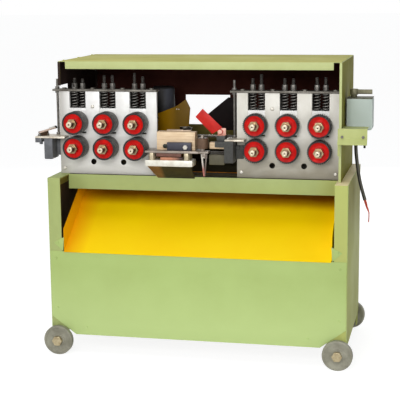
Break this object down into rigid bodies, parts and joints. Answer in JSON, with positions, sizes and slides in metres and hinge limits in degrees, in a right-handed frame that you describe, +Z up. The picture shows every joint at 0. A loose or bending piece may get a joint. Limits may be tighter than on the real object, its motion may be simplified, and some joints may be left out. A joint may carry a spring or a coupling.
{
  "type": "bamboo stick making machine",
  "caption": "Floor cabinet on wheels with spring-loaded feed rollers under an open hood and a die station between them, shaping bamboo strips into sticks that slide down a chute.",
  "frame": {"origin": "on the floor under the centre of the cabinet, which is also the centre of the whole machine", "axes": "+X along the feed, left to right seen from the chute side; +Y to the back; +Z up"},
  "size_m": [1.344, 0.647, 1.188],
  "materials": {
    "green_paint": "light green enamel",
    "yellow_paint": "yellow enamel",
    "wheel_iron": "plain cast, worn",
    "bright_steel": "ground plate",
    "dark_steel": "oiled, blackened",
    "red_paint": "red enamel",
    "wood": "bare hardwood",
    "bronze": "bearing bronze",
    "grey_casting": "hammered grey paint",
    "motor_grey": "dark grey machine paint",
    "box_cream": "moulded",
    "black_plastic": "moulded",
    "cable_sheath": "dull",
    "core_red": "wire insulation",
    "brown_drum": "worn, browned"
  },
  "bodies": {
    "machine": {"axle_bolts": "dark_steel", "base_frame": "green_paint", "box_shelf": "green_paint", "cabinet_panels": "green_paint", "cable_wires": "core_red", "chute_tray": "yellow_paint", "clamp_set": "dark_steel", "control_box": "box_cream", "deflector_plates": "yellow_paint", "die_bed": "bright_steel", "die_holder": "grey_casting", "die_table": "bright_steel", "drive_chain": "dark_steel", "front_panel": "green_paint", "gear_motor": "motor_grey", "guide_plates": "bright_steel", "hood_lid": "green_paint", "hood_panels": "green_paint", "infeed_guide": "grey_casting", "infeed_springs_1": "dark_steel", "infeed_springs_2": "dark_steel", "infeed_springs_3": "dark_steel", "lower_bushes": "bronze", "module_plates": "bright_steel", "outfeed_springs_1": "dark_steel", "outfeed_springs_2": "dark_steel", "outfeed_springs_3": "dark_steel", "power_cable": "cable_sheath", "top_bars": "dark_steel", "wood_guides": "wood"},
    "infeed_block_1": {"infeed_block_1": "bright_steel"},
    "infeed_block_2": {"infeed_block_2": "bright_steel"},
    "infeed_block_3": {"infeed_block_3": "bright_steel"},
    "infeed_upper_roller_1": {"infeed_upper_roller_1": "dark_steel"},
    "infeed_upper_roller_2": {"infeed_upper_roller_2": "dark_steel"},
    "infeed_upper_roller_3": {"infeed_upper_roller_3": "dark_steel"},
    "outfeed_block_1": {"outfeed_block_1": "bright_steel"},
    "outfeed_block_2": {"outfeed_block_2": "bright_steel"},
    "outfeed_block_3": {"outfeed_block_3": "bright_steel"},
    "outfeed_upper_roller_1": {"outfeed_upper_roller_1": "dark_steel"},
    "outfeed_upper_roller_2": {"outfeed_upper_roller_2": "dark_steel"},
    "outfeed_upper_roller_3": {"outfeed_upper_roller_3": "dark_steel"},
    "wheel_front_left": {"wheel_front_left": "wheel_iron"},
    "wheel_front_right": {"wheel_front_right": "wheel_iron"},
    "wheel_rear_left": {"wheel_rear_left": "wheel_iron"},
    "wheel_rear_right": {"wheel_rear_right": "wheel_iron"},
    "infeed_idler_gear_1": {"infeed_idler_gear_1": "dark_steel"},
    "infeed_idler_gear_2": {"infeed_idler_gear_2": "dark_steel"},
    "infeed_lower_roller_1": {"infeed_lower_roller_1": "dark_steel"},
    "infeed_lower_roller_2": {"infeed_lower_roller_2": "dark_steel"},
    "infeed_lower_roller_3": {"infeed_lower_roller_3": "dark_steel"},
    "outfeed_idler_gear_1": {"outfeed_idler_gear_1": "dark_steel"},
    "outfeed_idler_gear_2": {"outfeed_idler_gear_2": "dark_steel"},
    "outfeed_lower_roller_1": {"outfeed_lower_roller_1": "dark_steel"},
    "outfeed_lower_roller_2": {"outfeed_lower_roller_2": "dark_steel"},
    "outfeed_lower_roller_3": {"outfeed_lower_roller_3": "dark_steel"},
    "switch_lever": {"switch_lever": "black_plastic"},
    "chip_guard": {"chip_guard": "red_paint"},
    "release_lever": {"release_lever": "bright_steel"},
    "side_roller": {"side_roller": "brown_drum"}
  },
  "joints": [
    {"name": "infeed_lower_roller_1_spin", "type": "hinge", "parent": "machine", "child": "infeed_lower_roller_1", "pos_m": [-0.5075, -0.179, 0.837], "axis": [0, 1, 0], "continuous": true},
    {"name": "infeed_block_1_lift", "type": "slide", "parent": "machine", "child": "infeed_block_1", "axis": [0, 0, 1], "range_m": [0, 0.006], "stiffness_N_per_m": 30000, "springref_m": -0.01, "deforming": ["infeed_springs_1"]},
    {"name": "infeed_upper_roller_1_spin", "type": "hinge", "parent": "infeed_block_1", "child": "infeed_upper_roller_1", "pos_m": [-0.5075, -0.179, 0.937], "axis": [0, 1, 0], "continuous": true},
    {"name": "infeed_lower_roller_2_spin", "type": "hinge", "parent": "machine", "child": "infeed_lower_roller_2", "pos_m": [-0.3815, -0.179, 0.837], "axis": [0, 1, 0], "continuous": true},
    {"name": "infeed_block_2_lift", "type": "slide", "parent": "machine", "child": "infeed_block_2", "axis": [0, 0, 1], "range_m": [0, 0.006], "stiffness_N_per_m": 30000, "springref_m": -0.01, "deforming": ["infeed_springs_2"]},
    {"name": "infeed_upper_roller_2_spin", "type": "hinge", "parent": "infeed_block_2", "child": "infeed_upper_roller_2", "pos_m": [-0.3815, -0.179, 0.937], "axis": [0, 1, 0], "continuous": true},
    {"name": "infeed_lower_roller_3_spin", "type": "hinge", "parent": "machine", "child": "infeed_lower_roller_3", "pos_m": [-0.2555, -0.179, 0.837], "axis": [0, 1, 0], "continuous": true},
    {"name": "infeed_block_3_lift", "type": "slide", "parent": "machine", "child": "infeed_block_3", "axis": [0, 0, 1], "range_m": [0, 0.006], "stiffness_N_per_m": 30000, "springref_m": -0.01, "deforming": ["infeed_springs_3"]},
    {"name": "infeed_upper_roller_3_spin", "type": "hinge", "parent": "infeed_block_3", "child": "infeed_upper_roller_3", "pos_m": [-0.2555, -0.179, 0.937], "axis": [0, 1, 0], "continuous": true},
    {"name": "infeed_idler_gear_1_spin", "type": "hinge", "parent": "machine", "child": "infeed_idler_gear_1", "pos_m": [-0.4445, -0.038, 0.77556], "axis": [0, 1, 0], "continuous": true},
    {"name": "infeed_idler_gear_2_spin", "type": "hinge", "parent": "machine", "child": "infeed_idler_gear_2", "pos_m": [-0.3185, -0.038, 0.77556], "axis": [0, 1, 0], "continuous": true},
    {"name": "outfeed_lower_roller_1_spin", "type": "hinge", "parent": "machine", "child": "outfeed_lower_roller_1", "pos_m": [0.2255, -0.179, 0.837], "axis": [0, 1, 0], "continuous": true},
    {"name": "outfeed_block_1_lift", "type": "slide", "parent": "machine", "child": "outfeed_block_1", "axis": [0, 0, 1], "range_m": [0, 0.006], "stiffness_N_per_m": 30000, "springref_m": -0.01, "deforming": ["outfeed_springs_1"]},
    {"name": "outfeed_upper_roller_1_spin", "type": "hinge", "parent": "outfeed_block_1", "child": "outfeed_upper_roller_1", "pos_m": [0.2255, -0.179, 0.937], "axis": [0, 1, 0], "continuous": true},
    {"name": "outfeed_lower_roller_2_spin", "type": "hinge", "parent": "machine", "child": "outfeed_lower_roller_2", "pos_m": [0.3515, -0.179, 0.837], "axis": [0, 1, 0], "continuous": true},
    {"name": "outfeed_block_2_lift", "type": "slide", "parent": "machine", "child": "outfeed_block_2", "axis": [0, 0, 1], "range_m": [0, 0.006], "stiffness_N_per_m": 30000, "springref_m": -0.01, "deforming": ["outfeed_springs_2"]},
    {"name": "outfeed_upper_roller_2_spin", "type": "hinge", "parent": "outfeed_block_2", "child": "outfeed_upper_roller_2", "pos_m": [0.3515, -0.179, 0.937], "axis": [0, 1, 0], "continuous": true},
    {"name": "outfeed_lower_roller_3_spin", "type": "hinge", "parent": "machine", "child": "outfeed_lower_roller_3", "pos_m": [0.4775, -0.179, 0.837], "axis": [0, 1, 0], "continuous": true},
    {"name": "outfeed_block_3_lift", "type": "slide", "parent": "machine", "child": "outfeed_block_3", "axis": [0, 0, 1], "range_m": [0, 0.006], "stiffness_N_per_m": 30000, "springref_m": -0.01, "deforming": ["outfeed_springs_3"]},
    {"name": "outfeed_upper_roller_3_spin", "type": "hinge", "parent": "outfeed_block_3", "child": "outfeed_upper_roller_3", "pos_m": [0.4775, -0.179, 0.937], "axis": [0, 1, 0], "continuous": true},
    {"name": "outfeed_idler_gear_1_spin", "type": "hinge", "parent": "machine", "child": "outfeed_idler_gear_1", "pos_m": [0.2885, -0.038, 0.77556], "axis": [0, 1, 0], "continuous": true},
    {"name": "outfeed_idler_gear_2_spin", "type": "hinge", "parent": "machine", "child": "outfeed_idler_gear_2", "pos_m": [0.4145, -0.038, 0.77556], "axis": [0, 1, 0], "continuous": true},
    {"name": "wheel_front_left_spin", "type": "hinge", "parent": "machine", "child": "wheel_front_left", "pos_m": [-0.567, -0.297, 0.06], "axis": [0, 1, 0], "continuous": true},
    {"name": "wheel_front_right_spin", "type": "hinge", "parent": "machine", "child": "wheel_front_right", "pos_m": [0.567, -0.297, 0.06], "axis": [0, 1, 0], "continuous": true},
    {"name": "wheel_rear_left_spin", "type": "hinge", "parent": "machine", "child": "wheel_rear_left", "pos_m": [-0.567, 0.297, 0.06], "axis": [0, 1, 0], "continuous": true},
    {"name": "wheel_rear_right_spin", "type": "hinge", "parent": "machine", "child": "wheel_rear_right", "pos_m": [0.567, 0.297, 0.06], "axis": [0, 1, 0], "continuous": true},
    {"name": "switch_turn", "type": "hinge", "parent": "machine", "child": "switch_lever", "pos_m": [0.597, -0.055, 1.06], "axis": [0, 0, 1], "range_deg": [-45, 45]},
    {"name": "chip_guard_swing", "type": "hinge", "parent": "machine", "child": "chip_guard", "pos_m": [0.087, -0.182, 0.91], "axis": [0, 1, 0], "range_deg": [0, 60]},
    {"name": "release_lever_swing", "type": "hinge", "parent": "machine", "child": "release_lever", "pos_m": [0.028, -0.213, 0.82], "axis": [0, 1, 0], "range_deg": [-20, 20]},
    {"name": "side_roller_spin", "type": "hinge", "parent": "machine", "child": "side_roller", "pos_m": [0.022, -0.216, 0.868], "axis": [0, 0, 1], "continuous": true}
  ],
  "couplings": [
    {"joint": "infeed_lower_roller_1_spin", "follows": "infeed_lower_roller_3_spin", "ratio": 1},
    {"joint": "infeed_upper_roller_1_spin", "follows": "infeed_lower_roller_3_spin", "ratio": -1},
    {"joint": "infeed_lower_roller_2_spin", "follows": "infeed_lower_roller_3_spin", "ratio": 1},
    {"joint": "infeed_upper_roller_2_spin", "follows": "infeed_lower_roller_3_spin", "ratio": -1},
    {"joint": "infeed_upper_roller_3_spin", "follows": "infeed_lower_roller_3_spin", "ratio": -1},
    {"joint": "infeed_idler_gear_1_spin", "follows": "infeed_lower_roller_3_spin", "ratio": -1.3158},
    {"joint": "infeed_idler_gear_2_spin", "follows": "infeed_lower_roller_3_spin", "ratio": -1.3158},
    {"joint": "outfeed_lower_roller_1_spin", "follows": "infeed_lower_roller_3_spin", "ratio": 1},
    {"joint": "outfeed_upper_roller_1_spin", "follows": "infeed_lower_roller_3_spin", "ratio": -1},
    {"joint": "outfeed_lower_roller_2_spin", "follows": "infeed_lower_roller_3_spin", "ratio": 1},
    {"joint": "outfeed_upper_roller_2_spin", "follows": "infeed_lower_roller_3_spin", "ratio": -1},
    {"joint": "outfeed_lower_roller_3_spin", "follows": "infeed_lower_roller_3_spin", "ratio": 1},
    {"joint": "outfeed_upper_roller_3_spin", "follows": "infeed_lower_roller_3_spin", "ratio": -1},
    {"joint": "outfeed_idler_gear_1_spin", "follows": "infeed_lower_roller_3_spin", "ratio": -1.3158},
    {"joint": "outfeed_idler_gear_2_spin", "follows": "infeed_lower_roller_3_spin", "ratio": -1.3158}
  ]
}
